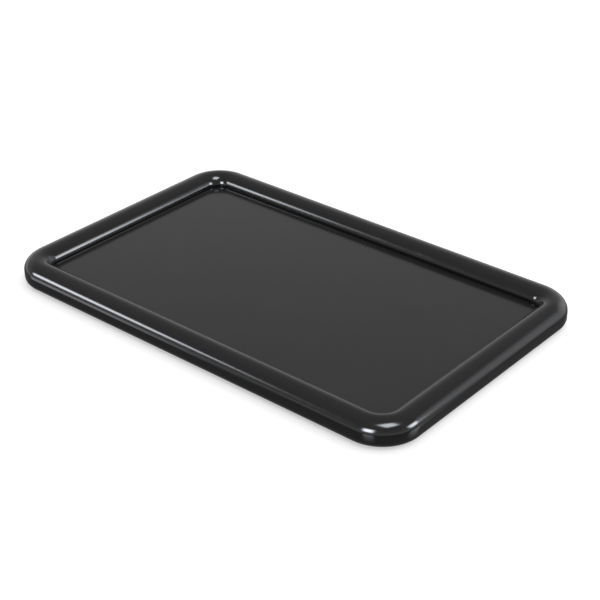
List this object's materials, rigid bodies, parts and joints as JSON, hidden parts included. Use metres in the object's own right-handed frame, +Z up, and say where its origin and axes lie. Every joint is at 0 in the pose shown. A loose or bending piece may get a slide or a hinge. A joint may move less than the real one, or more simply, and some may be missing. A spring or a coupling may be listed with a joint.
{
  "type": "chip rack tray",
  "caption": "Shallow rectangular tray with a broad rounded bead rim and a sunken flat gloss deck, for standing racks or stacks of gaming chips on a table.",
  "frame": {"origin": "centre of the footprint, on the plane that the four feet rest on", "axes": "+X along the long side, +Y along the short side towards the back, +Z up out of the deck"},
  "size_m": [0.4, 0.257, 0.0208],
  "materials": {
    "bead_gloss": "polished black ABS moulding",
    "deck_gloss": "polished black sheet",
    "seal_foam": "closed-cell black foam",
    "core_ply": "sanded birch plywood",
    "cover_texture": "fine-textured black ABS",
    "foot_rubber": "matt black rubber",
    "zinc_steel": "zinc-plated",
    "insert_brass": "turned brass",
    "black_steel": "black-oxide steel"
  },
  "bodies": {
    "root": {"rim_frame": "bead_gloss", "deck_panel": "deck_gloss", "deck_seal": "seal_foam", "core_board": "core_ply", "base_cover": "cover_texture", "foot_front_left": "foot_rubber", "foot_front_right": "foot_rubber", "foot_back_left": "foot_rubber", "foot_back_right": "foot_rubber", "foot_washers": "zinc_steel", "foot_screws": "zinc_steel", "base_inserts": "insert_brass", "base_screws": "black_steel"}
  },
  "joints": []
}
